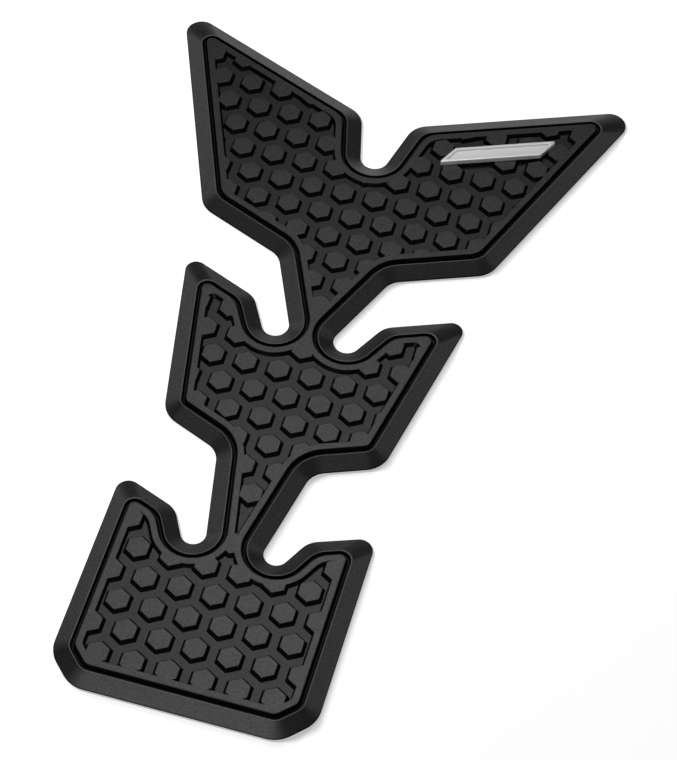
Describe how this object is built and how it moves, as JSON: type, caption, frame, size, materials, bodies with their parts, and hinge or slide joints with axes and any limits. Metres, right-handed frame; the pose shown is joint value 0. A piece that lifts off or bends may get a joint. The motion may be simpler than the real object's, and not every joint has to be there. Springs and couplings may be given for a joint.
{
  "type": "motorcycle tank pad",
  "caption": "Black moulded rubber tank pad with swept wings, a grooved sloping rim, sunk fields of raised hexagons and a small silver name plate.",
  "frame": {"origin": "middle of the flat back face, half way along the pad and on its centre line", "axes": "+Y up the pad towards the widest wings, +Z out of the tank, +X to the wing that carries the name plate"},
  "size_m": [0.1306, 0.217, 0.0045],
  "materials": {
    "rubber": "black moulded rubber, satin, with a very fine grain",
    "silver": "satin silver plating on a small moulded plate"
  },
  "bodies": {
    "root": {"pad_body": "rubber", "name_plate": "silver"}
  },
  "joints": []
}
